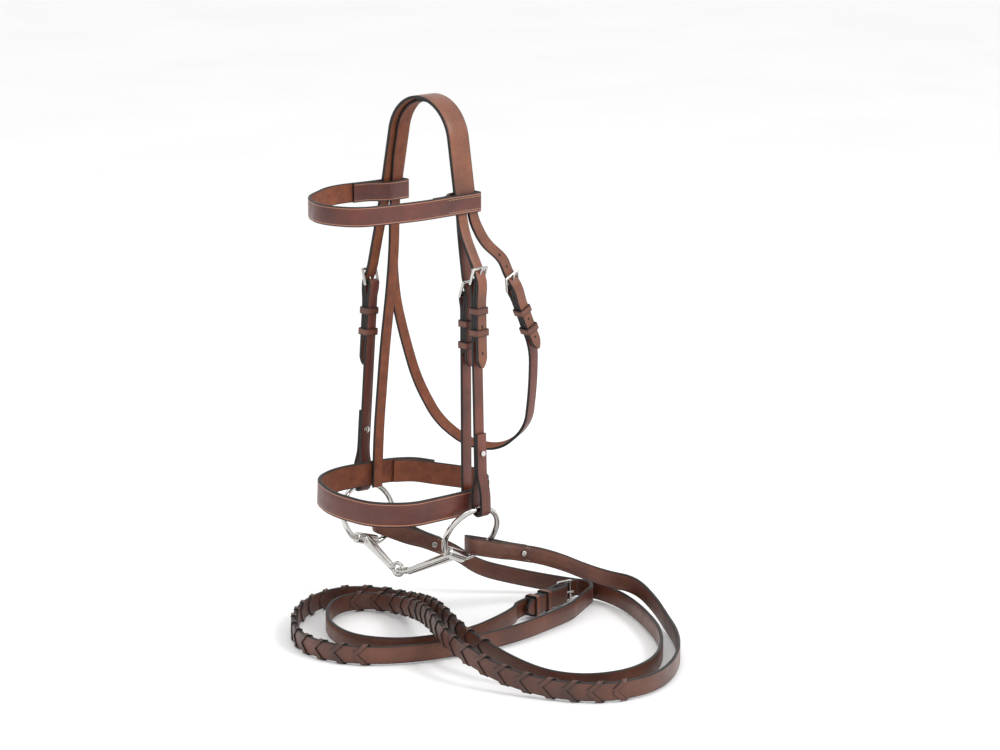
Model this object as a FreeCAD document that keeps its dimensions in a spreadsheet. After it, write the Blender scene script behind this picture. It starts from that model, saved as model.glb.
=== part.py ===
# Snaffle bridle: headstall, single-jointed eggbutt bit and laced reins, in millimetres.
# +X is the horse's near (left) side, -Y its front and +Z up.
# The origin is the centre of the arc that rests over the poll, behind the ears.
import FreeCAD, Part
import math
import os

Vector = FreeCAD.Vector
Placement = FreeCAD.Placement
Rotation = FreeCAD.Rotation
AXIS_X = Vector(1, 0, 0)
AXIS_Y = Vector(0, 1, 0)
AXIS_Z = Vector(0, 0, 1)

doc = FreeCAD.newDocument("snaffle_bridle")

# ---------------------------------------------------------------- driving dimensions
SIZES = [
    ("poll_radius", 40.0, "inner radius of the arc over the poll"),
    ("crown_width", 27.0, "headpiece over the poll"),
    ("crown_thick", 3.5, "headpiece and its billets"),
    ("near_splay", 9.3, "degrees the near side of the headpiece leans out"),
    ("far_splay", 11.8, "degrees the far side of the headpiece leans out"),
    ("split_drop", 60.0, "poll centre down to where the headpiece is split"),
    ("cheek_width", 12.8, "cheekpieces and their billets"),
    ("cheek_thick", 3.0, "one leaf of a cheekpiece"),
    ("headstrap_width", 12.8, "noseband headstrap"),
    ("headstrap_thick", 3.0, "noseband headstrap"),
    ("browband_width", 20.0, "browband"),
    ("browband_thick", 3.0, "browband"),
    ("noseband_width", 26.0, "cavesson noseband"),
    ("noseband_thick", 4.0, "cavesson noseband"),
    ("noseband_drop", 356.0, "poll centre down to the middle of the noseband"),
    ("noseband_roll", 3.4, "degrees the near side of the noseband hangs lower"),
    ("jaw_width", 24.0, "jaw strap of the noseband"),
    ("throat_width", 12.0, "throatlash"),
    ("rein_width", 18.0, "reins"),
    ("rein_thick", 3.5, "reins"),
    ("floor_drop", 490.0, "poll centre down to the floor that the reins lie on"),
    ("lace_thick", 1.2, "lacing round the reins"),
    ("lace_pitch", 24.0, "spacing of the lacing"),
    ("keeper_thick", 1.6, "wall of a keeper"),
    ("keeper_height", 7.0, "keeper, along its strap"),
    ("keeper_fit", 0.15, "gap between a sewn keeper and its straps"),
    ("runner_fit", 0.4, "gap between a sliding runner and its straps"),
    ("leaf_gap", 0.2, "gap between straps that lie on each other"),
    ("bar_radius", 1.5, "wire of the buckle frames"),
    ("bar_slack", 0.45, "gap between a buckle bar and the leather round it"),
    ("frame_rise", 15.0, "buckle bar to the far side of the frame"),
    ("frame_lean", 5.3, "how far the frame leans out over its billet"),
    ("tongue_radius", 1.1, "wire of the buckle tongues"),
    ("pin_fit", 0.05, "running gap of the hinge pins"),
    ("ring_radius", 31.5, "bit ring, to the middle of its wire"),
    ("ring_wire", 3.0, "radius of the bit ring's wire"),
    ("ring_slack", 1.9, "gap between a bit ring and the cheekpiece round it"),
    ("ring_spread", 81.0, "bit's middle to the top of each ring"),
    ("barrel_radius", 6.0, "eggbutt barrel round the ring's pin"),
    ("barrel_length", 25.0, "eggbutt barrel"),
    ("pin_radius", 2.4, "straight part of the ring inside the barrel"),
    ("eye_radius", 6.5, "centre link eyes, to the middle of their wire"),
    ("eye_wire", 2.0, "radius of the eyes' wire"),
    ("eye_spread", 3.9, "bit's middle to the middle of each eye"),
    ("joint_drop", 75.0, "ring tops down to the centre link"),
    ("stud_radius", 1.6, "shank of a hook stud"),
    ("stud_head", 3.6, "head of a hook stud"),
]

sheet = doc.addObject("Spreadsheet::Sheet", "dims")
for row, (alias, size, note) in enumerate(SIZES, start=1):
    sheet.set("A%d" % row, alias)
    sheet.set("B%d" % row, str(size))
    sheet.set("C%d" % row, note)
    sheet.setAlias("B%d" % row, alias)
doc.recompute()


def dim(alias):
    return float(sheet.get(alias))


nodes = []


def keep(obj, label, place=None):
    """Makes obj a sub-part: it gets its label and its place, and is exported at the end."""
    obj.Label = label
    if place is not None:
        obj.Placement = place
    nodes.append(obj)
    return obj


def frame_at(origin, out, up):
    """The place whose x axis is out and whose z axis is as near to up as it can be."""
    return Placement(Vector(*origin), Rotation(Vector(*out), Vector(), Vector(*up), "XZY"))


# ---------------------------------------------------------------- paths of straps
def smooth_radius(before, corner, after):
    """The largest bend that leaves a tenth of the shorter run straight."""
    first = corner - before
    second = after - corner
    turn = first.getAngle(second)
    return 0.45 * min(first.Length, second.Length) / math.tan(turn / 2)


def bends(points, radii):
    """The straight runs through points, as (start, end) pairs, and the arc at each corner."""
    corners = [Vector(*p) for p in points]
    runs = []
    arcs = []
    start = corners[0]
    for i in range(1, len(corners) - 1):
        before, corner, after = corners[i - 1], corners[i], corners[i + 1]
        radius = radii.get(i) or smooth_radius(before, corner, after)
        into = (corner - before).normalize()
        away = (after - corner).normalize()
        half = into.getAngle(away) / 2
        inward = (away - into).normalize()
        reach = radius * math.tan(half)
        centre = corner + inward * (radius / math.cos(half))
        first = corner - into * reach
        last = corner + away * reach
        runs.append((start, first))
        arcs.append((first, centre - inward * radius, last, centre, radius))
        start = last
    runs.append((start, corners[-1]))
    return runs, arcs


def path_wire(points, radii):
    runs, arcs = bends(points, radii)
    edges = []
    for i, (start, end) in enumerate(runs):
        edges.append(Part.LineSegment(start, end).toShape())
        if i < len(arcs):
            first, middle, last = arcs[i][:3]
            edges.append(Part.Arc(first, middle, last).toShape())
    return Part.Wire(edges)


def strap_outline(points, radii, thick):
    """The closed outline of a strap seen on edge: lines and arcs either side of its path."""
    runs, arcs = bends([(x, z, 0) for x, z in points], radii)

    def shifted(offset):
        pieces = []
        for i, (start, end) in enumerate(runs):
            side = (end - start).normalize().cross(AXIS_Z) * offset
            pieces.append((start + side, end + side))
            if i < len(arcs):
                first, middle, last, centre, radius = arcs[i]
                outwards = 1 if side.dot(first - centre) > 0 else -1
                grown = (radius + outwards * abs(offset)) / radius
                pieces.append(tuple(centre + (p - centre) * grown for p in (first, middle, last)))
        return pieces

    right = shifted(thick / 2)
    left = shifted(-thick / 2)
    outline = [make_piece(piece) for piece in right + left]
    outline.append(Part.LineSegment(right[0][0], left[0][0]))
    outline.append(Part.LineSegment(right[-1][-1], left[-1][-1]))
    return outline


def make_piece(piece):
    if len(piece) == 2:
        return Part.LineSegment(*piece)
    return Part.Arc(*piece)


def origin_plane(body, role):
    return [f for f in body.Origin.OriginFeatures if f.Role == role][0]


def strap(name, points, radii, thick, width, plane="XZ_Plane"):
    """A strap whose path lies in one plane, padded to its width (a cell of the sheet)."""
    body = doc.addObject("PartDesign::Body", name)
    sketch = body.newObject("Sketcher::SketchObject", name + "_outline")
    sketch.AttachmentSupport = [(origin_plane(body, plane), "")]
    sketch.MapMode = "FlatFace"
    sketch.addGeometry(strap_outline(points, radii, thick), False)
    pad = body.newObject("PartDesign::Pad", name + "_pad")
    pad.Profile = sketch
    pad.Midplane = True
    pad.setExpression("Length", "dims." + width)
    doc.recompute()
    return body


def swept_strap(points, radii, thick, width, across):
    """A strap that follows a path in space and keeps its width along one direction."""
    spine = path_wire(points, radii)
    start = Vector(*points[0])
    along = (Vector(*points[1]) - start).normalize()
    normal = along.cross(across).normalize()
    wide = Vector(across).normalize() * (width / 2)
    deep = normal * (thick / 2)
    corners = [start + wide + deep, start + wide - deep, start - wide - deep, start - wide + deep]
    section = Part.Wire(Part.makePolygon(corners + corners[:1]).Edges)
    shell = Part.BRepOffsetAPI.MakePipeShell(spine)
    shell.setBiNormalMode(across)
    shell.add(section)
    shell.build()
    shell.makeSolid()
    return shell.shape()


def feature(name, shape):
    obj = doc.addObject("Part::Feature", name)
    obj.Shape = shape
    return obj


def box(name, low, high, place):
    obj = doc.addObject("Part::Box", name)
    obj.Length = high[0] - low[0]
    obj.Width = high[1] - low[1]
    obj.Height = high[2] - low[2]
    obj.Placement = place.multiply(Placement(Vector(*low), Rotation()))
    return obj


def rod(name, radius, start, end, place):
    """A round rod between two points of a place; radius is a number or a cell's name."""
    obj = doc.addObject("Part::Cylinder", name)
    along = Vector(*end) - Vector(*start)
    if isinstance(radius, str):
        obj.setExpression("Radius", "dims." + radius)
    else:
        obj.Radius = radius
    obj.Height = along.Length
    obj.Placement = place.multiply(Placement(Vector(*start), Rotation(AXIS_Z, along)))
    return obj


def ball(name, radius, centre, place):
    obj = doc.addObject("Part::Sphere", name)
    obj.setExpression("Radius", "dims." + radius)
    obj.Placement = place.multiply(Placement(Vector(*centre), Rotation()))
    return obj


def fuse(name, shapes):
    obj = doc.addObject("Part::MultiFuse", name)
    obj.Shapes = shapes
    return obj


def cut(name, base, tools):
    """base less each of the tools."""
    tool = tools[0] if len(tools) == 1 else fuse(name + "_tools", tools)
    obj = doc.addObject("Part::Cut", name)
    obj.Base = base
    obj.Tool = tool
    return obj


# ---------------------------------------------------------------- buckled joints
# Every buckled joint has its own place: the bar's middle at the origin, x outwards, z along the
# strap towards the billet and y across the strap. The chape folds round the bar, and the billet
# comes down inside the frame's far side, over the bar and along the outside of the chape.
BAR = dim("bar_radius")
GAP = dim("leaf_gap")
RISE = dim("frame_rise")
LEAN = dim("frame_lean")
TONGUE = dim("tongue_radius")
SLOT_HALF = 2.6
CHAPE_TAIL = -58.0
SEWN_KEEPER = -28.0
RUNNER = -50.0
RUNNER_TRAVEL = 5.0
TONGUE_LIFT = 8.0


def leaf_side(leaf):
    """How far the middle of each leaf of a folded chape lies from the joint's own plane."""
    return (leaf + GAP) / 2


def chape(leaf, tail=CHAPE_TAIL):
    """Path and bends of a chape from the end of its return leaf round the bar to z = -12."""
    wrap = BAR + dim("bar_slack") + leaf / 2
    near = leaf_side(leaf)
    points = [(near, tail), (near, -12), (wrap, -5), (wrap, wrap), (-wrap, wrap), (-wrap, -5),
              (-near, -12)]
    return points, {3: wrap - 0.01, 4: wrap - 0.01}


def billet_inside(billet):
    """Where a billet passes inside the far side of the frame."""
    return (LEAN - BAR - 1.2 - billet / 2, RISE + 0.5)


def billet_level(leaf, billet):
    """How far out the middle of the billet lies on the chape."""
    return leaf + 1.5 * GAP + billet / 2


def billet_end(leaf, billet, tip):
    """Path of a billet from inside the frame, over the bar, to its tip."""
    over = BAR + dim("bar_slack") + leaf + GAP + billet / 2
    level = billet_level(leaf, billet)
    return [billet_inside(billet), (over, 2), (over, -6), (level, -18), (level, tip)]


def tongue_line():
    """The direction of a tongue that rests on the frame's far side, and its length."""
    reach = math.hypot(LEAN, RISE)
    angle = math.atan2(LEAN, RISE) + math.asin((BAR + TONGUE + 0.05) / reach)
    return math.sin(angle), math.cos(angle), reach + 2.5


def tongue_slot(name, place):
    """What is cut from a chape so that the tongue can reach the bar."""
    return box(name, (-9, -SLOT_HALF, -4.5), (9, SLOT_HALF, 9), place)


def billet_slot(name, place, leaf, billet):
    """What is cut from a billet for the tongue, with room for the tongue to lift."""
    half = TONGUE + 0.4
    return box(name, (LEAN - 4.5, -half, 3.6), (LEAN + 4.5, half, 11.2), place)


def buckle(prefix, place, width):
    """A wire frame and its tongue; width is the widest strap in the joint."""
    half = width / 2 + 1.0 + BAR
    ends = [(0, -half, 0), (0, half, 0), (LEAN, half, RISE), (LEAN, -half, RISE)]
    pieces = []
    for i, corner in enumerate(ends):
        pieces.append(rod("%s_side_%d" % (prefix, i), "bar_radius", corner, ends[i - 1], place))
        pieces.append(ball("%s_corner_%d" % (prefix, i), "bar_radius", corner, place))
    keep(fuse(prefix, pieces), prefix)

    out, up, length = tongue_line()
    hub_half = SLOT_HALF - 0.4
    hub_radius = BAR + dim("pin_fit") + 1.2
    hub = rod(prefix + "_hub", hub_radius, (0, -hub_half, 0), (0, hub_half, 0), place)
    start = (out * (BAR + 0.6), 0, up * (BAR + 0.6))
    end = (out * length, 0, up * length)
    shaft = rod(prefix + "_shaft", "tongue_radius", start, end, place)
    bore_radius = BAR + dim("pin_fit")
    bore = rod(prefix + "_bore", bore_radius, (0, -half, 0), (0, half, 0), place)
    solid = fuse(prefix + "_tongue_solid", [hub, shaft])
    keep(cut(prefix + "_tongue", solid, [bore]), prefix + "_tongue")


def keeper(name, place, level, inside, outside, width, fit):
    """A band of leather round the straps between inside and outside (both x), at z = level."""
    wall = dim("keeper_thick")
    half = dim("keeper_height") / 2
    side = width / 2 + fit
    low, high = inside - fit, outside + fit
    outer = box(name + "_outer", (low - wall, -side - wall, level - half),
                (high + wall, side + wall, level + half), place)
    inner = box(name + "_inner", (low, -side, level - half - 1),
                (high, side, level + half + 1), place)
    return keep(cut(name, outer, [inner]), name)


def keepers(prefix, place, leaf, billet, width, shift=0.0):
    """The sewn keeper and the sliding runner below a buckle."""
    inside = -leaf - GAP / 2
    outside = billet_level(leaf, billet) + billet / 2
    keeper(prefix + "_keeper", place, SEWN_KEEPER + shift, inside, outside, width,
           dim("keeper_fit"))
    keeper(prefix + "_runner", place, RUNNER + shift, inside, outside, width, dim("runner_fit"))


def stud(name, place, level, inside, outside):
    """A hook stud: a shank through the leaves, a flat head inside and a domed one outside."""
    radius = dim("stud_head")
    clear = 0.1
    shank = rod(name + "_shank", "stud_radius", (inside - 2, 0, level), (outside + 2, 0, level),
                place)
    back = rod(name + "_back", radius, (inside - clear - 1.2, 0, level),
               (inside - clear, 0, level), place)
    front = rod(name + "_front", radius * 0.8, (outside + clear, 0, level),
                (outside + clear + 2.4, 0, level), place)
    return keep(fuse(name, [shank, back, front]), name)


def stud_hole(name, place, level):
    radius = dim("stud_radius") + 0.1
    return rod(name, radius, (-14, 0, level), (14, 0, level), place)


# ---------------------------------------------------------------- headpiece and headstrap
SPLAY = {1: math.radians(dim("near_splay")), -1: math.radians(dim("far_splay"))}
CROWN_R = dim("poll_radius") + dim("headstrap_thick") + GAP + dim("crown_thick") / 2
STRAP_R = dim("poll_radius") + dim("headstrap_thick") / 2


def side_at(radius, drop, sign):
    """How far out the near (1) or far (-1) side of an arc over the poll lies at a drop."""
    return radius / math.cos(SPLAY[sign]) + drop * math.tan(SPLAY[sign])


def over_poll(radius, drop):
    """Path over the poll: the leaning sides, and the point high above where they would meet."""
    level = side_at(radius, 0, 1) + side_at(radius, 0, -1)
    apex = level / (math.tan(SPLAY[1]) + math.tan(SPLAY[-1]))
    return [(side_at(radius, drop, 1), -drop), (side_at(radius, -apex, 1), apex),
            (-side_at(radius, drop, -1), -drop)]


DROP = dim("split_drop")
CHEEK_LINE = -(dim("crown_width") - dim("cheek_width")) / 2
THROAT_LINE = (dim("crown_width") - dim("throat_width")) / 2
CROWN_T = dim("crown_thick")
CHEEK_T = dim("cheek_thick")
BILLET_TIP = -86.0

# Ring tops and the far cheek: the bit hangs with its far side carried a little forward.
BIT_PLACE = Placement(Vector(1.5, -14, -365), Rotation(AXIS_Z, 7.2))
SPREAD = dim("ring_spread")
RING_TOP = {"near": BIT_PLACE.multVec(Vector(SPREAD, 0, 0)),
            "far": BIT_PLACE.multVec(Vector(-SPREAD, 0, 0))}
SIDES = {"near": 1, "far": -1}
CHEEK_BAR = {"near": (78.5, -133.0), "far": (74.0, -155.0)}


def cheek_hang(side):
    """Turns a side's cheek about the split of the headpiece, so that it ends at its bit ring."""
    top = RING_TOP[side]
    lean = math.degrees(math.atan2(top.y - CHEEK_LINE, -top.z - DROP))
    pivot = Vector(0, CHEEK_LINE, -DROP)
    return Placement(pivot, Rotation(AXIS_X, lean)).multiply(Placement(-pivot, Rotation()))


def cheek_place(side):
    """The place of a side's cheek buckle, and the length from its bar to the ring top."""
    sign = SIDES[side]
    out, height = CHEEK_BAR[side]
    flat_top = cheek_hang(side).inverse().multVec(RING_TOP[side])
    down = Vector(sign * flat_top.x - out, 0, flat_top.z - height)
    bar = Vector(sign * out, CHEEK_LINE, height)
    up = Vector(-sign * down.x, 0, -down.z).normalize()
    side_out = Vector(sign * up.z, 0, -sign * up.x)
    return frame_at(bar, side_out, up), down.Length


def to_flat(place, points):
    """Points of a buckled joint, as (x, z) of the upright plane that it stands in."""
    moved = [place.multVec(Vector(x, 0, z)) for x, z in points]
    return [(p.x, p.z) for p in moved]


crown_top = strap("crown_top", over_poll(CROWN_R, DROP), {1: CROWN_R}, CROWN_T, "crown_width")
crown_parts = [crown_top]
crown_slots = []
for side, sign in SIDES.items():
    place, length = cheek_place(side)
    entry = to_flat(place, billet_end(CHEEK_T, CROWN_T, BILLET_TIP))
    foot = side_at(CROWN_R, DROP, sign)
    head = side_at(CROWN_R, DROP - 4, sign)
    lean_to = [(sign * head, 4 - DROP), (sign * (foot + 5), -DROP - 26)]
    billet = strap("cheek_billet_" + side, lean_to + entry, {}, CROWN_T, "cheek_width")
    billet.Placement = cheek_hang(side).multiply(Placement(Vector(0, CHEEK_LINE, 0), Rotation()))
    crown_parts.append(billet)
    seat = cheek_hang(side).multiply(place)
    crown_slots.append(billet_slot("cheek_slot_" + side, seat, CHEEK_T, CROWN_T))

THROAT_BAR = frame_at((62, 58, -148), (1, 0, 0), (0, -0.42, 0.907))
THROAT_ACROSS = THROAT_BAR.Rotation.multVec(AXIS_Y)
throat_billet_path = [(side_at(CROWN_R, DROP - 4, 1), THROAT_LINE, 4 - DROP),
                      (side_at(CROWN_R, DROP, 1) + 1.5, THROAT_LINE + 2, -DROP - 15),
                      (60, 21, -98)]
throat_inside = billet_inside(CROWN_T)
throat_billet_path.append(tuple(THROAT_BAR.multVec(Vector(throat_inside[0], 0, 34))))
for x, z in billet_end(CHEEK_T, CROWN_T, -74):
    throat_billet_path.append(tuple(THROAT_BAR.multVec(Vector(x, 0, z))))
throat_billet = feature("throat_billet", swept_strap(
    throat_billet_path, {}, CROWN_T, dim("throat_width"), THROAT_ACROSS))
crown_parts.append(throat_billet)
crown_slots.append(billet_slot("throat_slot", THROAT_BAR, CHEEK_T, CROWN_T))
keep(cut("crownpiece_cut", fuse("crownpiece_solid", crown_parts), crown_slots), "crownpiece")

# ---------------------------------------------------------------- cheekpieces
for side in SIDES:
    place, length = cheek_place(side)
    seat = cheek_hang(side).multiply(place)
    folded, turns = chape(CHEEK_T)
    near = leaf_side(CHEEK_T)
    loop = dim("ring_wire") + dim("ring_slack") + CHEEK_T / 2
    ring_level = -length
    foot_of_loop = ring_level - loop
    start = len(folded)
    path = folded + [(-near, ring_level + 34), (-loop, ring_level + 18), (-loop, foot_of_loop),
                     (loop, foot_of_loop), (loop, ring_level + 18), (near, ring_level + 34),
                     (near, ring_level + 78)]
    turns[start + 2] = loop - 0.01
    turns[start + 3] = loop - 0.01
    body = strap("cheek_strap_" + side, path, turns, CHEEK_T, "cheek_width")
    body.Placement = seat
    holes = [tongue_slot("cheek_tongue_slot_" + side, seat),
             stud_hole("cheek_stud_hole_" + side, seat, ring_level + 58)]
    keep(cut("cheekpiece_cut_" + side, body, holes), "cheekpiece_" + side)
    buckle("cheek_buckle_" + side, seat, dim("cheek_width"))
    keepers("cheek_" + side, seat, CHEEK_T, CROWN_T, dim("cheek_width"))
    stud("cheek_hook_stud_" + side, seat, ring_level + 58, -CHEEK_T - GAP / 2,
         CHEEK_T + GAP / 2)

# ---------------------------------------------------------------- noseband headstrap and cheek
STRAP_T = dim("headstrap_thick")
NOSE_T = dim("noseband_thick")
NOSE_DROP = dim("noseband_drop")
NOSE_ROLL = Placement(Vector(0, 0, -NOSE_DROP), Rotation(AXIS_Y, dim("noseband_roll")))
NOSE_BAR = Vector(59.0, -2.5, -149)
HANGER_FOOT = Vector(60.8, -1.5, -NOSE_DROP - 18)
nose_place = frame_at(NOSE_BAR, (1, 0, 0), (NOSE_BAR - HANGER_FOOT).normalize())
STRAP_LINE = -4.5


def headstrap_point(x, z):
    return tuple(nose_place.multVec(Vector(x, 0, z)))


STRAP_SPLIT = 20.0
headstrap_top = strap("headstrap_top", over_poll(STRAP_R, STRAP_SPLIT), {1: STRAP_R}, STRAP_T,
                      "headstrap_width")
near_path = [(side_at(STRAP_R, STRAP_SPLIT - 4, 1), 0, 4 - STRAP_SPLIT),
             (side_at(STRAP_R, DROP + 22, 1) - 0.8, STRAP_LINE, -DROP - 22)]
near_path += [headstrap_point(x, z) for x, z in billet_end(STRAP_T, STRAP_T, -72)]
far_path = [(-side_at(STRAP_R, STRAP_SPLIT - 4, -1), 0, 4 - STRAP_SPLIT),
            (-side_at(STRAP_R, DROP + 10, -1), 4.5, -DROP - 10), (-57.0, 3, -120),
            (-58.5, 0, -160), (-60.6, -7, -220), (-61.1, -16, -310),
            (-60.4, -19, -NOSE_DROP - 10)]
headstrap_legs = [feature("headstrap_" + side, swept_strap(
    path, {}, STRAP_T, dim("headstrap_width"), AXIS_Y))
    for side, path in (("near", near_path), ("far", far_path))]
keep(cut("headstrap_cut", fuse("headstrap_solid", [headstrap_top] + headstrap_legs),
         [billet_slot("headstrap_slot", nose_place, STRAP_T, STRAP_T)]), "noseband_headstrap")

folded, turns = chape(CHEEK_T)
hanger_length = (NOSE_BAR - HANGER_FOOT).Length
hanger = strap("hanger_strap", folded + [(-leaf_side(CHEEK_T), -hanger_length)], turns, CHEEK_T,
               "headstrap_width")
hanger.Placement = nose_place
keep(cut("hanger_cut", hanger, [tongue_slot("hanger_slot", nose_place)]), "noseband_cheek_near")
buckle("noseband_cheek_buckle", nose_place, dim("headstrap_width"))
keepers("noseband_cheek", nose_place, CHEEK_T, STRAP_T, dim("headstrap_width"))

# ---------------------------------------------------------------- browband
BROW_T = dim("browband_thick")
BROW_LEVEL = -56.0
BROW_HALF = dim("browband_width") / 2
BROW_ROOM = 1.0
LOOP_REAR = dim("crown_width") / 2 + BROW_ROOM + BROW_T / 2
LOOP_FRONT = -dim("crown_width") / 2 - 3


def browband_side(sign, wide):
    """From the sewn-back end round a side's loop to the start of the front."""
    outer = side_at(CROWN_R, BROW_HALF - BROW_LEVEL, sign) + CROWN_T / 2 + BROW_ROOM + BROW_T / 2
    inner = side_at(CROWN_R, -BROW_LEVEL - BROW_HALF, sign) - CROWN_T / 2 - STRAP_T - 2 * GAP
    inner -= BROW_ROOM + BROW_T / 2
    folded = outer - BROW_T - 2 * GAP
    return [(sign * (folded + wide * 0.5), LOOP_FRONT - 28),
            (sign * (folded + wide * 0.15), LOOP_FRONT - 10),
            (sign * inner, LOOP_FRONT + 2), (sign * inner, LOOP_REAR),
            (sign * outer, LOOP_REAR), (sign * outer, LOOP_FRONT - 2),
            (sign * (outer + wide), LOOP_FRONT - 54)]


front = [(48, -137), (8, -151), (-36, -130)]
browband_path = browband_side(1, 1) + front + list(reversed(browband_side(-1, 7)))
loop_bend = 3.0
browband_turns = {3: loop_bend, 4: loop_bend, len(browband_path) - 4: loop_bend,
                  len(browband_path) - 5: loop_bend}
browband = strap("browband_strap", browband_path, browband_turns, BROW_T, "browband_width",
                 "XY_Plane")
keep(browband, "browband", Placement(Vector(0, 0, BROW_LEVEL), Rotation()))

# ---------------------------------------------------------------- noseband
# The jaw buckle sits behind the near cheek: its billet, the jaw strap, comes from the far side.
JAW_BAR = Vector(33, 39, 0)
JAW_WAY = Vector(0.75, -0.66, 0).normalize()
JAW_OUT = Vector(-JAW_WAY.y, JAW_WAY.x, 0)
JAW_T = 3.0


def jaw(x, z):
    """A point of the jaw buckle's joint, as (x, y) of the noseband."""
    point = JAW_BAR + JAW_OUT * x - JAW_WAY * z
    return (point.x, point.y)


folded, turns = chape(NOSE_T, tail=-34)
nose_path = [jaw(x, z) for x, z in folded] + [jaw(-leaf_side(NOSE_T), -40)]
nose_path += [(68, -6), (68, -48), (67, -86), (42, -118), (-10, -125), (-54, -107), (-70, -70),
              (-67.2, -26), (-63, 4), (-52, 25), (-32, 34)]
nosepiece = strap("nose_strap", nose_path, turns, NOSE_T, "noseband_width", "XY_Plane")
nosepiece.Placement = NOSE_ROLL
jaw_seat = NOSE_ROLL.multiply(frame_at(JAW_BAR, JAW_OUT, JAW_WAY * -1))
keep(cut("nosepiece_cut", nosepiece, [tongue_slot("jaw_tongue_slot", jaw_seat)]),
     "noseband_nosepiece")
jaw_path = [jaw(x, z) for x, z in reversed(billet_end(NOSE_T, JAW_T, -44))]
jaw_path += [jaw(1, 24), (-6, 44), (-31, 29.8), (-48.5, 21.8), (-58.5, 2)]
jaw_strap = strap("jaw_sweep", jaw_path, {}, JAW_T, "jaw_width", "XY_Plane")
jaw_strap.Placement = NOSE_ROLL
keep(cut("jaw_cut", jaw_strap, [billet_slot("jaw_slot", jaw_seat, NOSE_T, JAW_T)]),
     "noseband_jaw_strap")
buckle("noseband_jaw_buckle", jaw_seat, dim("noseband_width"))
keeper("noseband_jaw_keeper", jaw_seat, SEWN_KEEPER + 4, -NOSE_T - GAP / 2,
       billet_level(NOSE_T, JAW_T) + JAW_T / 2, dim("noseband_width"), dim("keeper_fit"))

# ---------------------------------------------------------------- throatlash
folded, turns = chape(CHEEK_T)
throat_top = strap("throat_chape", folded + [(-leaf_side(CHEEK_T), -44)], turns, CHEEK_T,
                   "throat_width")
throat_top.Placement = THROAT_BAR
inner_leaf = -leaf_side(CHEEK_T)
FAR_SPLIT = side_at(CROWN_R, DROP, -1)
throat_path = [tuple(THROAT_BAR.multVec(Vector(inner_leaf, 0, -40))),
               tuple(THROAT_BAR.multVec(Vector(inner_leaf, 0, -74))),
               (56, 92, -258), (43, 98, -303), (18, 84, -328), (-9, 62, -324),
               (-33, 42, -300), (-48, 26, -258), (-57, 17, -212), (-63, 11.5, -176),
               (-65, 9, -140), (-FAR_SPLIT - 3.4, THROAT_LINE, -DROP - 30),
               (-FAR_SPLIT - 0.7, THROAT_LINE, -DROP - 4)]
throat_rest = feature("throat_rest", swept_strap(
    throat_path, {}, CHEEK_T, dim("throat_width"), THROAT_ACROSS))
keep(cut("throatlash_cut", fuse("throatlash_solid", [throat_top, throat_rest]),
         [tongue_slot("throat_tongue_slot", THROAT_BAR)]), "throatlash")
buckle("throatlash_buckle", THROAT_BAR, dim("throat_width"))
keepers("throatlash", THROAT_BAR, CHEEK_T, CROWN_T, dim("throat_width"))

# ---------------------------------------------------------------- bit
RING_R = dim("ring_radius")
RING_ROLL = {1: 26.0, -1: 16.0}
RING_YAW = {1: 12.0, -1: -12.0}
PIN_ANGLE = 69.0
PIN_HALF = dim("barrel_length") / 2 + dim("ring_wire") + 0.4
LINK = Vector(-8, -22, -dim("joint_drop"))


def ring_axes(sign):
    """The upward, forward and outward directions of a ring, in the bit's own place."""
    turn = Rotation(AXIS_Y, RING_ROLL[sign]).multiply(Rotation(AXIS_Z, -RING_YAW[sign]))
    up = turn.multVec(AXIS_Z)
    forward = turn.multVec(Vector(0, -1, 0))
    up.x *= sign
    forward.x *= sign
    return up, forward, forward.cross(up)


def pin_frame(sign):
    """Middle of a ring, middle of its pin, and the pin's direction."""
    up, forward, normal = ring_axes(sign)
    middle = Vector(sign * SPREAD, 0, 0) - up * RING_R
    angle = math.radians(PIN_ANGLE)
    towards = forward * math.cos(angle) - up * math.sin(angle)
    along = forward * math.sin(angle) + up * math.cos(angle)
    depth = math.sqrt(RING_R ** 2 - PIN_HALF ** 2)
    return middle, middle + towards * depth, towards, along


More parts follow.
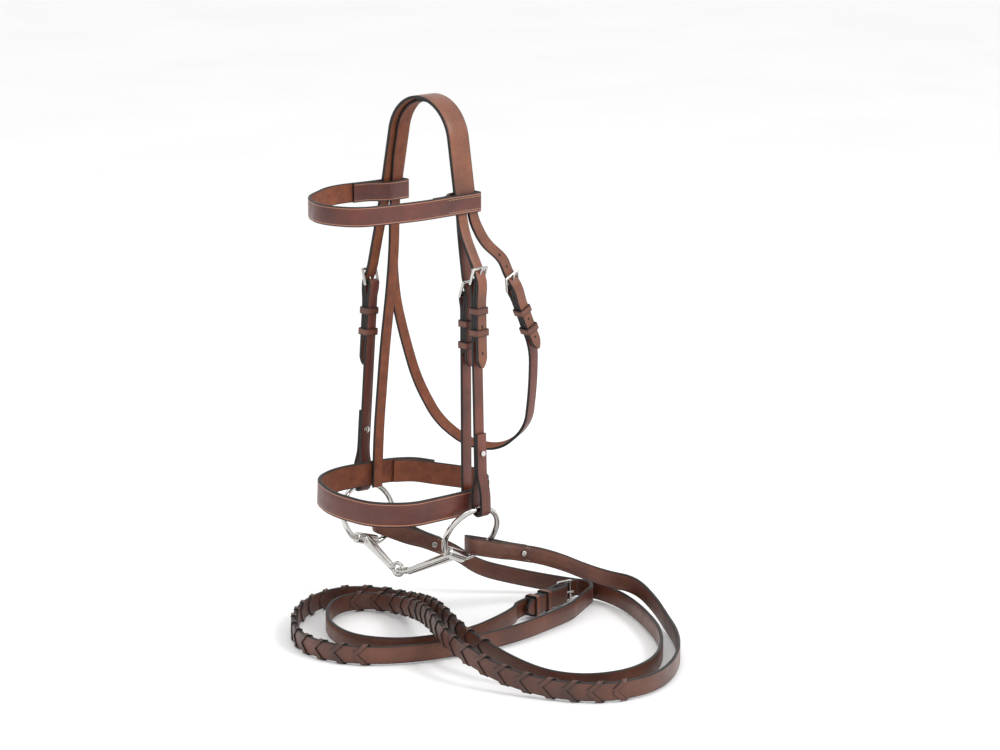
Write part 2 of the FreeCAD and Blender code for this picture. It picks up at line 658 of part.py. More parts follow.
for side, sign in SIDES.items():
    middle, pin, towards, along = pin_frame(sign)
    half_gap = math.degrees(math.asin(PIN_HALF / RING_R))
    ring_place = Placement(middle, Rotation(towards, along, Vector(), "XYZ"))
    ring = doc.addObject("Part::Torus", "ring_wire_" + side)
    ring.setExpression("Radius1", "dims.ring_radius")
    ring.setExpression("Radius2", "dims.ring_wire")
    ring.Angle3 = 360 - 2 * half_gap
    ring.Placement = BIT_PLACE.multiply(ring_place).multiply(
        Placement(Vector(), Rotation(AXIS_Z, half_gap)))
    low = pin - along * PIN_HALF
    high = pin + along * PIN_HALF
    pin_rod = rod("ring_pin_" + side, "pin_radius", tuple(low), tuple(high), BIT_PLACE)
    joints = [ball("ring_end_%s_%d" % (side, i), "ring_wire", tuple(p), BIT_PLACE)
              for i, p in enumerate((low, high))]
    keep(fuse("bit_ring_" + side, [ring, pin_rod] + joints), "bit_ring_" + side)

    # Half of the mouthpiece: a barrel round the pin, a tapering arm and an eye.
    half_barrel = dim("barrel_length") / 2
    barrel = rod("barrel_" + side, "barrel_radius", tuple(pin - along * half_barrel),
                 tuple(pin + along * half_barrel), BIT_PLACE)
    bore = rod("barrel_bore_" + side, dim("pin_radius") + dim("pin_fit"),
               tuple(pin - along * PIN_HALF), tuple(pin + along * PIN_HALF), BIT_PLACE)
    eye_middle = Vector(sign * dim("eye_spread"), 0, 0) + LINK
    eye_way = Vector(sign, 0, 0)
    arm = eye_middle + eye_way * dim("eye_radius") - pin
    arm_way = Vector(arm).normalize()
    cone = doc.addObject("Part::Cone", "arm_" + side)
    cone.Radius1 = dim("barrel_radius") * 0.95
    cone.Radius2 = dim("eye_wire") * 1.75
    cone.Height = arm.Length
    cone.Placement = BIT_PLACE.multiply(Placement(pin, Rotation(AXIS_Z, arm_way)))
    flat = AXIS_Y if side == "near" else AXIS_Z
    eye = doc.addObject("Part::Torus", "eye_" + side)
    eye.setExpression("Radius1", "dims.eye_radius")
    eye.setExpression("Radius2", "dims.eye_wire")
    eye.Placement = BIT_PLACE.multiply(
        Placement(eye_middle, Rotation(eye_way, flat, Vector(), "XYZ")))
    eye_hole = rod("eye_hole_" + side, dim("eye_radius") - dim("eye_wire"),
                   tuple(eye_middle - eye_way.cross(flat) * 9),
                   tuple(eye_middle + eye_way.cross(flat) * 9), BIT_PLACE)
    half = fuse("mouthpiece_solid_" + side, [barrel, cone, eye])
    keep(cut("mouthpiece_cut_" + side, half, [bore, eye_hole]), "mouthpiece_" + side)

# ---------------------------------------------------------------- reins
REIN_W = dim("rein_width")
REIN_T = dim("rein_thick")
LACE = dim("lace_thick")
LYING = -dim("floor_drop") + REIN_W / 2 + LACE + 0.3
HUMP = LYING + REIN_W + 6.5
REIN_LOOP = {"near": 9.0, "far": 12.0}
REAR_ANGLE = {"near": math.radians(38), "far": math.radians(41)}
REIN_WAY = {"near": (0.15, 0.99, -0.285), "far": (0.6, 0.8, -0.41)}


def rein_seat(side):
    """Where a rein goes round its bit ring: z runs back along the rein and x across it."""
    up, forward, normal = ring_axes(SIDES[side])
    middle = Vector(SIDES[side] * SPREAD, 0, 0) - up * RING_R
    angle = REAR_ANGLE[side]
    wire = middle - (forward * math.cos(angle) + up * math.sin(angle)) * RING_R
    way = Vector(*REIN_WAY[side]).normalize()
    out = way.cross(AXIS_Z).normalize()
    return frame_at(tuple(BIT_PLACE.multVec(wire)), tuple(out), tuple(way))


REIN_EXIT = 60.0
REIN_STUD = 49.0
rein_start = {}
for side in SIDES:
    seat = rein_seat(side)
    near = leaf_side(REIN_T)
    wide = REIN_LOOP[side]
    flat = [(-near, 57), (-near, 35), (-wide, 18), (-wide, -19), (wide, -19), (wide, 18),
            (near, 35), (near, REIN_EXIT)]
    path = [tuple(seat.multVec(Vector(x, 0, z))) for x, z in flat]
    loop = feature("rein_loop_strap_" + side,
                   swept_strap(path, {3: 7.0, 4: 7.0}, REIN_T, REIN_W, AXIS_Z))
    keep(cut("rein_loop_cut_" + side, loop, [stud_hole("rein_stud_hole_" + side, seat, REIN_STUD)]),
         "rein_loop_" + side)
    stud("rein_hook_stud_" + side, seat, REIN_STUD, -REIN_T - GAP / 2, REIN_T + GAP / 2)
    rein_start[side] = seat.multVec(Vector(near, 0, REIN_EXIT + 0.05))
    rein_start[side + "_way"] = seat.Rotation.multVec(AXIS_Z)

# The rein buckle lies on the floor: its chape ends the near rein and its billet the far one.
BUCKLE_LEVEL = LYING + 2.6
REIN_BAR = frame_at((78, 108, BUCKLE_LEVEL), (0.975, 0.22, 0), (-0.22, 0.975, 0))
chape_end = REIN_BAR.multVec(Vector(-leaf_side(REIN_T), 0, CHAPE_TAIL - 6))


def on_floor(x, y):
    """A point of the floor plan, as (out, up) of the rein buckle's joint."""
    point = REIN_BAR.inverse().multVec(Vector(x, y, BUCKLE_LEVEL))
    return (point.x, point.z)


NEAR_ROUTE = [(90, 104, -440), (100, 124, -451), (116, 143, -460), (148, 152, -461),
              (184, 144, -473), (222, 122, LYING), (264, 93, LYING), (304, 56, LYING), (336, 14, LYING),
              (354, -30, LYING), (350, -74, LYING), (326, -103, LYING), (290, -121, LYING + 1),
              (252, -136, LYING + 8), (214, -143, HUMP - 5), (170, -132, HUMP),
              (100, -93, HUMP), (44, -60, LYING + 13), (-10, -41, LYING + 3),
              (-46, -44, LYING), (-56, -76, LYING), (-32, -114, LYING), (12, -146, LYING),
              (60, -156, LYING), (99, -134, LYING), (117, -96, LYING), (121, -52, LYING),
              (112, -8, LYING + 1), (101, 26, LYING + 2)]
FAR_ROUTE = [(-6, 72, -459), (16, 104, -470), (46, 136, LYING + 1), (84, 153, LYING),
             (124, 149, LYING), (164, 134, LYING), (206, 112, LYING), (250, 84, LYING),
             (290, 46, LYING), (316, 8, LYING), (326, -32, LYING), (318, -66, LYING),
             (298, -88, LYING), (270, -101, LYING + 2), (236, -112, LYING + 11),
             (200, -115, HUMP - 4), (162, -107, HUMP), (92, -71, HUMP), (36, -42, LYING + 13),
             (-12, -26, LYING + 3), (-54, -26, LYING), (-82, -54, LYING), (-74, -104, LYING),
             (-36, -156, LYING), (16, -191, LYING), (68, -193, LYING), (104, -170, LYING),
             (126, -136, LYING), (138, -98, LYING), (146, -54, LYING), (147, -4, LYING + 1),
             (139, 44, LYING + 2)]
BILLET_PLAN = [(128, 84), (112, 114), (102, 134), (90, 143), (78, 143)]


def rein_points(side, route, end, end_way):
    """A rein's route with its first and last points set straight with what it leaves and joins."""
    start = rein_start[side]
    lead = start + rein_start[side + "_way"] * 12
    ends = [tuple(end - end_way * 12), tuple(end)]
    return [tuple(start), tuple(lead)] + route + ends


REIN_UP = REIN_BAR.Rotation.multVec(AXIS_Z)
billet_start = Vector(*BILLET_PLAN[0], BUCKLE_LEVEL)
billet_way = (Vector(*BILLET_PLAN[1], BUCKLE_LEVEL) - billet_start).normalize()
ROUTES = {"near": rein_points("near", NEAR_ROUTE, chape_end - REIN_UP * 0.05, REIN_UP),
          "far": rein_points("far", FAR_ROUTE, billet_start - billet_way * 0.05, billet_way)}
LACED = {"near": (430, 500), "far": (640, 620)}


def lace_bands(spine, first, length):
    """Flat thongs round a rein, one at each step of the lacing."""
    count = int(length / dim("lace_pitch"))
    places = spine.discretize(Distance=dim("lace_pitch") / 8)
    step = spine.Length / (len(places) - 1)
    bands = []
    for i in range(count):
        index = int((first + i * dim("lace_pitch")) / step)
        along = (places[index + 1] - places[index - 1]).normalize()
        out = along.cross(AXIS_Z).normalize()
        seat = frame_at(tuple(places[index]), tuple(out), tuple(along))
        sizes = []
        for extra in (LACE + 0.25, 0.25):
            half_t = REIN_T / 2 + extra
            half_w = REIN_W / 2 + extra
            half_l = 1.5 if extra > LACE else 3
            band = Part.makeBox(2 * half_t, 2 * half_w, 2 * half_l,
                                Vector(-half_t, -half_w, -half_l))
            band.Placement = seat
            sizes.append(band)
        bands.append(sizes[0].cut(sizes[1]))
    return Part.makeCompound(bands)


for side, points in ROUTES.items():
    radii = [arc[4] for arc in bends(points, {})[1]]
    print("rein_%s bend radii:" % side, [round(r) for r in radii])
    spine = path_wire(points, {})
    solid = swept_strap(points, {}, REIN_T, REIN_W, AXIS_Z)
    print("rein_%s length %.0f, volume / (section x length) %.3f"
          % (side, spine.Length, solid.Volume / (REIN_W * REIN_T * spine.Length)))
    keep(feature("rein_sweep_" + side, solid), "rein_" + side)
    first, length = LACED[side]
    keep(feature("lace_bands_" + side, lace_bands(spine, first, length)), "rein_lacing_" + side)

folded, turns = chape(REIN_T)
rein_chape = strap("rein_chape_strap", folded + [(-leaf_side(REIN_T), CHAPE_TAIL - 6)], turns,
                   REIN_T, "rein_width")
rein_chape.Placement = REIN_BAR
keep(cut("rein_chape_cut", rein_chape, [tongue_slot("rein_tongue_slot", REIN_BAR)]),
     "rein_chape_near")
inside = billet_inside(REIN_T)
billet_path = [on_floor(*p) for p in BILLET_PLAN] + [(inside[0], RISE + 17)]
rein_billet = strap("rein_billet_strap", billet_path + billet_end(REIN_T, REIN_T, -66), {},
                    REIN_T, "rein_width")
rein_billet.Placement = REIN_BAR
keep(cut("rein_billet_cut", rein_billet,
         [billet_slot("rein_billet_slot", REIN_BAR, REIN_T, REIN_T)]), "rein_billet_far")
buckle("rein_buckle", REIN_BAR, REIN_W)
keepers("rein", REIN_BAR, REIN_T, REIN_T, REIN_W)

# ---------------------------------------------------------------- check and export
doc.recompute()
for obj in doc.Objects:
    if "Invalid" in obj.State or "Error" in obj.State:
        raise RuntimeError("%s did not build: %s" % (obj.Label, obj.State))
for node in nodes:
    if node.Shape.isNull() or not node.Shape.isValid() or not node.Shape.Solids:
        raise RuntimeError("%s has no valid solid" % node.Label)
os.makedirs("parts", exist_ok=True)
for node in nodes:
    node.Shape.exportStep(os.path.join("parts", node.Label + ".step"))
print(len(nodes), "sub-parts")
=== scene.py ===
"""Snaffle bridle: leather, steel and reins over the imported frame. Sizes in the tables are mm."""
import bmesh
import bpy
import math
from mathutils import Matrix, Vector


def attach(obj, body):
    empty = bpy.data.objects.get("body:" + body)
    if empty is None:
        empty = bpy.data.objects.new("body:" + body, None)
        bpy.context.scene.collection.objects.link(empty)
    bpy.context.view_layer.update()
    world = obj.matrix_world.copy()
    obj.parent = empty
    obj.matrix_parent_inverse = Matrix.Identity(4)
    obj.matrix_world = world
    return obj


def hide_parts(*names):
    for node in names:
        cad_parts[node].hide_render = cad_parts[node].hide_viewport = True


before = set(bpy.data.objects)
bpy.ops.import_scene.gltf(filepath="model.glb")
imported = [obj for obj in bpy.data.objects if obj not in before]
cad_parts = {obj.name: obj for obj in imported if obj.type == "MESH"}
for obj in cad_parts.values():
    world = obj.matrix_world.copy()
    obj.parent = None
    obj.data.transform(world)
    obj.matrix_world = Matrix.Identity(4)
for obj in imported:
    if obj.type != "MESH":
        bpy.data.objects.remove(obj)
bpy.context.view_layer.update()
MM = 0.001
UP = Vector((0, 0, 1))
AXIS_Y = Vector((0, 1, 0))

# ---------------------------------------------------------------- camera
camera = bpy.data.objects.new("camera", bpy.data.cameras.new("camera"))
bpy.context.scene.collection.objects.link(camera)
bpy.context.scene.camera = camera
camera.data.lens = 126.0
camera.data.sensor_width = 36
camera.data.clip_end = 50
CAMERA_PLACE = (2.592, -2.3187, 0.5363)
CAMERA_AXES = ((0.6820, 0.7314, 0.0), (-0.1595, 0.1488, 0.9759), (0.7137, -0.6656, 0.2181))
turn = Matrix(CAMERA_AXES).transposed().to_4x4()
camera.matrix_world = Matrix.Translation(CAMERA_PLACE) @ turn

# ---------------------------------------------------------------- sizes shared with the part
POLL = 40.0
CROWN_W, CROWN_T = 27.0, 3.5
CHEEK_W, CHEEK_T = 12.8, 3.0
STRAP_W, STRAP_T = 12.8, 3.0
BROW_W, BROW_T = 20.0, 3.0
NOSE_W, NOSE_T = 26.0, 4.0
JAW_W, JAW_T = 24.0, 3.0
THROAT_W = 12.0
REIN_W, REIN_T = 18.0, 3.5
DROP = 60.0
GAP = 0.2
BAR, BAR_SLACK = 1.5, 0.45
RISE, LEAN = 15.0, 5.3
KEEPER_WALL, KEEPER_HIGH = 1.6, 7.0
KEEPER_FIT, RUNNER_FIT = 0.15, 0.4
LACE_PITCH = 24.0
RING_WIRE, RING_SLACK = 3.0, 1.9
FLOOR = -0.4905
SPLAY = {1: math.radians(9.3), -1: math.radians(11.8)}
SIDES = {"near": 1, "far": -1}
RING_TOP = {"near": Vector((81.861, -3.848, -365)), "far": Vector((-78.861, -24.152, -365))}
CHEEK_BAR = {"near": (78.5, -133.0), "far": (74.0, -155.0)}


def frame_at(origin, out, up):
    """The matrix whose x axis is out and whose z axis is as near to up as it can be."""
    x = Vector(out).normalized()
    y = Vector(up).cross(x).normalized()
    place = Matrix((x, y, x.cross(y))).transposed().to_4x4()
    place.translation = Vector(origin)
    return place


# ---------------------------------------------------------------- materials
def linear(rgb):
    return [((c / 255 + 0.055) / 1.055) ** 2.4 if c > 10 else c / 255 / 12.92 for c in rgb] + [1]


class Nodes:
    """Adds nodes to a material and links them."""

    def __init__(self, name):
        self.material = bpy.data.materials.new(name)
        self.material.use_nodes = True
        self.tree = self.material.node_tree
        self.shader = self.tree.nodes["Principled BSDF"]
        self.coords = self.tree.nodes.new("ShaderNodeTexCoord")

    def link(self, source, target):
        self.tree.links.new(source, target)

    def noise(self, scale, detail=4.0, roughness=0.55):
        node = self.tree.nodes.new("ShaderNodeTexNoise")
        node.inputs["Scale"].default_value = scale
        node.inputs["Detail"].default_value = detail
        node.inputs["Roughness"].default_value = roughness
        self.link(self.coords.outputs["Object"], node.inputs["Vector"])
        return node.outputs["Fac"]

    def ramp(self, source, stops):
        node = self.tree.nodes.new("ShaderNodeValToRGB")
        while len(node.color_ramp.elements) < len(stops):
            node.color_ramp.elements.new(0.5)
        for element, (place, colour) in zip(node.color_ramp.elements, stops):
            element.position = place
            element.color = colour
        self.link(source, node.inputs["Fac"])
        return node.outputs["Color"]

    def mix(self, factor, first, second, kind="MIX"):
        node = self.tree.nodes.new("ShaderNodeMix")
        node.data_type = "RGBA"
        node.blend_type = kind
        for socket, value in ((node.inputs[0], factor), (node.inputs[6], first),
                              (node.inputs[7], second)):
            if isinstance(value, (int, float, list, tuple)):
                socket.default_value = value
            else:
                self.link(value, socket)
        return node.outputs[2]

    def bump(self, height, distance, strength, below=None):
        node = self.tree.nodes.new("ShaderNodeBump")
        node.inputs["Distance"].default_value = distance
        node.inputs["Strength"].default_value = strength
        self.link(height, node.inputs["Height"])
        if below is not None:
            self.link(below, node.inputs["Normal"])
        return node.outputs["Normal"]

    def math(self, operation, first, second=0.0):
        node = self.tree.nodes.new("ShaderNodeMath")
        node.operation = operation
        for socket, value in zip(node.inputs, (first, second)):
            if isinstance(value, (int, float)):
                socket.default_value = value
            else:
                self.link(value, socket)
        return node.outputs[0]


def grey(value):
    return (value, value, value, 1)


def leather(name, light, dark, edge, crease=None, rough=(0.36, 0.52), pores=1500.0,
            coat=0.18):
    """Bridle leather: mottled colour, fine grain, dark worn edges and perhaps a creased line."""
    n = Nodes(name)
    mottled = n.ramp(n.noise(26.0, 6.0), [(0.32, linear(dark)), (0.68, linear(light))])
    speck = n.ramp(n.noise(420.0, 3.0), [(0.3, grey(0.78)), (0.62, grey(1.0))])
    colour = n.mix(0.8, mottled, speck, "MULTIPLY")
    split = n.tree.nodes.new("ShaderNodeSeparateXYZ")
    n.link(n.coords.outputs["UV"], split.inputs[0])
    across = n.math("MULTIPLY", n.math("ABSOLUTE", n.math("SUBTRACT", split.outputs[1], 0.5)), 2.0)
    worn = n.math("ADD", across, n.math("MULTIPLY", n.noise(150.0, 3.0), 0.05))
    if crease:
        line = n.ramp(worn, [(0.0, grey(0)), (0.80, grey(0)), (0.845, grey(1)), (0.88, grey(0))])
        colour = n.mix(line, colour, linear(crease))
    rim = n.ramp(worn, [(0.0, grey(0)), (0.92, grey(0)), (0.985, grey(1))])
    colour = n.mix(rim, colour, linear(edge))
    n.link(colour, n.shader.inputs["Base Color"])
    rough_now = n.ramp(n.noise(60.0), [(0.3, grey(rough[0])), (0.7, grey(rough[1]))])
    n.link(rough_now, n.shader.inputs["Roughness"])
    cells = n.tree.nodes.new("ShaderNodeTexVoronoi")
    cells.inputs["Scale"].default_value = pores
    n.link(n.coords.outputs["Object"], cells.inputs["Vector"])
    grain = n.bump(cells.outputs["Distance"], 0.00022, 0.35)
    n.link(n.bump(n.noise(240.0, 5.0), 0.0005, 0.3, grain), n.shader.inputs["Normal"])
    n.shader.inputs["Coat Weight"].default_value = coat
    n.shader.inputs["Coat Roughness"].default_value = 0.32
    return n.material


def flesh(name, light, dark):
    """The unfinished inside of a strap: fibrous and matt."""
    n = Nodes(name)
    colour = n.ramp(n.noise(90.0, 8.0, 0.7), [(0.3, linear(dark)), (0.7, linear(light))])
    n.link(colour, n.shader.inputs["Base Color"])
    n.link(n.ramp(n.noise(300.0), [(0.3, grey(0.62)), (0.7, grey(0.82))]),
           n.shader.inputs["Roughness"])
    n.link(n.bump(n.noise(1400.0, 6.0, 0.7), 0.0004, 0.5), n.shader.inputs["Normal"])
    return n.material


def thread(name, colour):
    n = Nodes(name)
    n.link(n.ramp(n.noise(900.0), [(0.3, [c * 0.6 for c in linear(colour)[:3]] + [1]),
                                   (0.7, linear(colour))]), n.shader.inputs["Base Color"])
    n.shader.inputs["Roughness"].default_value = 0.7
    n.link(n.bump(n.noise(3000.0), 0.0002, 0.5), n.shader.inputs["Normal"])
    return n.material


def steel(name, colour, rough):
    """Polished stainless steel with faint polishing marks and handled patches."""
    n = Nodes(name)
    n.link(n.ramp(n.noise(45.0, 5.0), [(0.3, [c * 0.8 for c in linear(colour)[:3]] + [1]),
                                       (0.7, linear(colour))]), n.shader.inputs["Base Color"])
    n.shader.inputs["Metallic"].default_value = 1.0
    n.link(n.ramp(n.noise(120.0, 6.0), [(0.35, grey(rough[0])), (0.7, grey(rough[1]))]),
           n.shader.inputs["Roughness"])
    n.link(n.bump(n.noise(700.0, 6.0, 0.7), 0.00006, 0.25), n.shader.inputs["Normal"])
    return n.material


BLACK_EDGE = (24, 13, 9)
EDGE = leather("edge_dressing", (34, 18, 12), (16, 9, 6), (14, 8, 6), rough=(0.5, 0.66),
               coat=0.0)
HEADPIECE = [leather("headpiece_grain", (134, 78, 50), (98, 54, 36), BLACK_EDGE),
             flesh("headpiece_flesh", (134, 74, 40), (94, 48, 27)), EDGE]
CHEEK = [leather("cheek_grain", (116, 56, 38), (84, 37, 26), BLACK_EDGE),
         flesh("cheek_flesh", (128, 68, 38), (92, 45, 26)), EDGE]
FRONT = [leather("front_grain", (104, 47, 34), (74, 31, 23), BLACK_EDGE, crease=(196, 140, 108)),
         flesh("front_flesh", (130, 69, 38), (90, 43, 25)), EDGE]
REIN = [leather("rein_grain", (102, 55, 35), (70, 35, 24), BLACK_EDGE),
        leather("rein_inner_grain", (94, 51, 33), (66, 33, 22), BLACK_EDGE), EDGE]
LACING = [leather("lacing_grain", (92, 50, 33), (52, 26, 19), (128, 84, 58), pores=2200.0),
          flesh("lacing_flesh", (110, 66, 42), (70, 38, 26)), EDGE]
KEEPER = [leather("keeper_grain", (120, 66, 44), (84, 44, 30), (176, 128, 92)), CHEEK[1],
          EDGE]
STITCH = thread("stitch_thread", (196, 160, 124))
# Painted shade for punched holes: near-black flat discs laid on the strap where the openings are.
HOLE_SHADE = thread("punched_hole_painted_shade", (20, 12, 8))
BUCKLE_STEEL = steel("buckle_steel", (206, 204, 200), (0.14, 0.26))
BIT_STEEL = steel("bit_steel", (214, 212, 208), (0.08, 0.18))


# ---------------------------------------------------------------- paths
def rounded(points, radii=None, step=2.5):
    """Points through runs and the arc at each corner; radii holds a bend for some corners."""
    radii = radii or {}
    corners = [Vector(p) for p in points]
    samples = [corners[0]]

    def run_to(end):
        start = samples[-1].copy()
        count = max(1, round((end - start).length / step))
        samples.extend(start.lerp(end, (i + 1) / count) for i in range(count))

    for i in range(1, len(corners) - 1):
        before, corner, after = corners[i - 1:i + 2]
        into, away = (corner - before), (after - corner)
        angle = into.angle(away)
        shorter = min(into.length, away.length)
        radius = radii.get(i) or 0.45 * shorter / math.tan(angle / 2)
        into.normalize()
        away.normalize()
        reach = radius * math.tan(angle / 2)
        inward = (away - into).normalized()
        centre = corner + inward * (radius / math.cos(angle / 2))
        run_to(corner - into * reach)
        spoke = samples[-1] - centre
        count = max(3, round(radius * angle / step), round(math.degrees(angle) / 9))
        for k in range(1, count + 1):
            samples.append(centre + Matrix.Rotation(angle * k / count, 3, into.cross(away)) @ spoke)
    run_to(corners[-1])
    cleaned = [samples[0]]
    for point in samples[1:]:
        if (point - cleaned[-1]).length > 0.05:
            cleaned.append(point)
    return cleaned


def in_seat(seat, points):
    """Points (x, z) of a buckled joint, in space."""
    return [seat @ Vector((x, 0, z)) for x, z in points]


def lengths(points):
    total = [0.0]
    for a, b in zip(points, points[1:]):
        total.append(total[-1] + (b - a).length)
    return total


class Line:
    """A sampled path with its directions, read at a distance along it."""

    def __init__(self, points, across=None, outward=None, closed=False):
        self.points = points
        self.along = lengths(points)
        self.ways = []
        last = len(points) - 1
        for i in range(len(points)):
            if closed:
                way = points[(i + 1) % len(points)] - points[i - 1]
            else:
                way = points[min(i + 1, last)] - points[max(i - 1, 0)]
            self.ways.append(way.normalized())
        if across is not None:
            across = Vector(across).normalized()
            self.outs = [way.cross(across).normalized() for way in self.ways]
            if outward is not None and self.outs[0].dot(Vector(outward)) < 0:
                self.outs = [-out for out in self.outs]
            self.wides = [across] * len(points)

    def set_outs(self, outs):
        self.outs = outs
        self.wides = [out.cross(way).normalized() for out, way in zip(outs, self.ways)]
        return self

    def at(self, distance):
        """Point, way, outward and across at a distance along."""
        distance = min(max(distance, 0.0), self.along[-1])
        i = 0
        while i < len(self.along) - 2 and self.along[i + 1] < distance:
            i += 1
        t = (distance - self.along[i]) / (self.along[i + 1] - self.along[i])
        return (self.points[i].lerp(self.points[i + 1], t),
                self.ways[i].lerp(self.ways[i + 1], t).normalized(),
                self.outs[i].lerp(self.outs[i + 1], t).normalized(),
                self.wides[i].lerp(self.wides[i + 1], t).normalized())


# ---------------------------------------------------------------- meshes
class Mesh:
    """Gathers lofts and small shapes, and makes one object of them."""

    def __init__(self):
        self.points = []
        self.faces = []
        self.slots = []
        self.uvs = []

    def face(self, indices, slot, uvs):
        self.faces.append(indices)
        self.slots.append(slot)
        self.uvs.append(uvs)

    def loft(self, line, width, thick, closed=False, tip=0.0, bevel=0.8, crease=0.0,
             blunt=0.22, slots=(0, 1, 2)):
        """A strap along a line: rounded edges, a creased line near each, and a pointed end."""
        half_w, half_t = width / 2, thick / 2
        b = min(bevel, half_t * 0.8, half_w * 0.5)
        outer = [-half_w + b, -half_w + b + 0.4]
        if crease:
            outer += [-half_w + crease - 0.5, -half_w + crease, -half_w + crease + 0.5]
        outer += [-half_w * 0.3, half_w * 0.3]
        if crease:
            outer += [half_w - crease - 0.5, half_w - crease, half_w - crease + 0.5]
        outer += [half_w - b - 0.4, half_w - b]
        profile = []
        for a in outer:
            sunk = 0.22 if crease and abs(abs(a) - (half_w - crease)) < 0.01 else 0.0
            profile.append((a, half_t - sunk, 0))
        profile += [(half_w - 0.29 * b, half_t - 0.29 * b, 2), (half_w, half_t - b, 2),
                    (half_w, -half_t + b, 2), (half_w - 0.29 * b, -half_t + 0.29 * b, 2)]
        profile += [(a, -half_t, 1) for a in (half_w - b, half_w - b - 0.4, 0.0,
                                              -half_w + b + 0.4, -half_w + b)]
        profile += [(-half_w + 0.29 * b, -half_t + 0.29 * b, 2), (-half_w, -half_t + b, 2),
                    (-half_w, half_t - b, 2), (-half_w + 0.29 * b, half_t - 0.29 * b, 2)]
        kinds = []
        size = len(profile)
        for k in range(size):
            here, there = profile[k][2], profile[(k + 1) % size][2]
            kinds.append(slots[here if here == there else 2])
        first = len(self.points)
        total = line.along[-1]
        for i, point in enumerate(line.points):
            left = total - line.along[i]
            narrow = 1.0
            if tip and left < tip:
                narrow = blunt + (1 - blunt) * (left / tip) ** 0.62
            for a, o, kind in profile:
                self.points.append(point + line.wides[i] * (a * narrow) + line.outs[i] * o)
        count = len(line.points)
        for i in range(count if closed else count - 1):
            j = (i + 1) % count
            u, v = line.along[i] * MM, (line.along[j] if j else total) * MM
            for k in range(size):
                m = (k + 1) % size
                p, q = profile[k][0] / width + 0.5, profile[m][0] / width + 0.5
                corners = [first + i * size + k, first + j * size + k,
                           first + j * size + m, first + i * size + m]
                self.face(corners, kinds[k], [(u, p), (v, p), (v, q), (u, q)])
        if not closed:
            for start, order in ((0, 1), (count - 1, -1)):
                ring = [first + start * size + k for k in range(size)][::order]
                self.face(ring, slots[2], [(0, 0)] * size)

    def blob(self, centre, way, out, long, radius, slot=0, proud=1.0):
        """A small rounded stitch, or a flat disc of painted shade standing for a punched hole, long
        along way.
        """
        side = way.cross(out)
        rings = ((-1.0, 0.25), (-0.72, 0.8), (0.0, 1.0), (0.72, 0.8), (1.0, 0.25))
        first = len(self.points)
        for t, size in rings:
            for k in range(6):
                angle = math.pi * k / 3
                self.points.append(centre + way * (t * long) + (
                    side * math.cos(angle) + out * (proud * math.sin(angle))) * (radius * size))
        for i in range(len(rings) - 1):
            for k in range(6):
                m = (k + 1) % 6
                self.face([first + i * 6 + k, first + i * 6 + m, first + i * 6 + 6 + m,
                           first + i * 6 + 6 + k], slot, [(0, 0)] * 4)
        self.face([first + k for k in range(6)][::-1], slot, [(0, 0)] * 6)
        self.face([first + 24 + k for k in range(6)], slot, [(0, 0)] * 6)

    def stitches(self, line, start, end, offset, out, slot=3, pitch=3.1):
        """A row of saddle stitches between two distances, off the middle of a strap."""
        count = max(1, int((end - start) / pitch))
        for i in range(count):
            point, way, outward, wide = line.at(start + (i + 0.5) * pitch)
            lean = (way + wide * 0.16).normalized()
            centre = point + wide * offset + outward * out
            self.blob(centre, lean, outward, 1.05, 0.36, slot)

    def stitched_rows(self, line, offset, out, *stretches):
        """A row of stitches near each edge of a strap, over each stretch of it."""
        for side in (-offset, offset):
            for start, end in stretches:
                self.stitches(line, start, end, side, out)

    def holes(self, line, thick, size, backs):
        """Punched holes drawn as flat near-black discs of painted shade, not cut through, at
        distances back from the tip of a billet.
        """
        for back in backs:
            point, way, outward, wide = line.at(line.along[-1] - back)
            self.blob(point + outward * thick / 2, way, outward, *size, 3, proud=0.12)

    def build(self, name, materials, body, nodes=(), slot=None):
        mesh = bpy.data.meshes.new(name)
        mesh.from_pydata([tuple(p * MM) for p in self.points], [], self.faces)
        layer = mesh.uv_layers.new(name="UVMap")
        k = 0
        for polygon, kind, uvs in zip(mesh.polygons, self.slots, self.uvs):
            polygon.material_index = kind
            polygon.use_smooth = True
            for uv in uvs:
                layer.data[k].uv = uv
                k += 1
        for material in materials:
            mesh.materials.append(material)
        mesh.update()
        obj = bpy.data.objects.new(name, mesh)
        bpy.context.scene.collection.objects.link(obj)
        tidy_normals(obj)
        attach(obj, body)
        if nodes:
            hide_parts(*nodes)
        return obj


def tidy_normals(obj):
    work = bmesh.new()
    work.from_mesh(obj.data)
    bmesh.ops.recalc_face_normals(work, faces=work.faces)
    work.to_mesh(obj.data)
    work.free()
    obj.data.set_sharp_from_angle(angle=math.radians(50))


# ---------------------------------------------------------------- buckled joints
def leaf_side(leaf):
    return (leaf + GAP) / 2


def chape(leaf, tail=-58.0):
    wrap = BAR + BAR_SLACK + leaf / 2
    near = leaf_side(leaf)
    points = [(near, tail), (near, -12), (wrap, -5), (wrap, wrap), (-wrap, wrap), (-wrap, -5),
              (-near, -12)]
    return points, {3: wrap - 0.01, 4: wrap - 0.01}


def billet_inside(billet):
    return (LEAN - BAR - 1.2 - billet / 2, RISE + 0.5)


def billet_level(leaf, billet):
    return leaf + 1.5 * GAP + billet / 2


def billet_end(leaf, billet, tip):
    over = BAR + BAR_SLACK + leaf + GAP + billet / 2
    level = billet_level(leaf, billet)
    return [billet_inside(billet), (over, 2), (over, -6), (level, -18), (level, tip)]


SEWN_KEEPER, RUNNER = -28.0, -50.0
STITCHED_CHAPE = (12, 24)


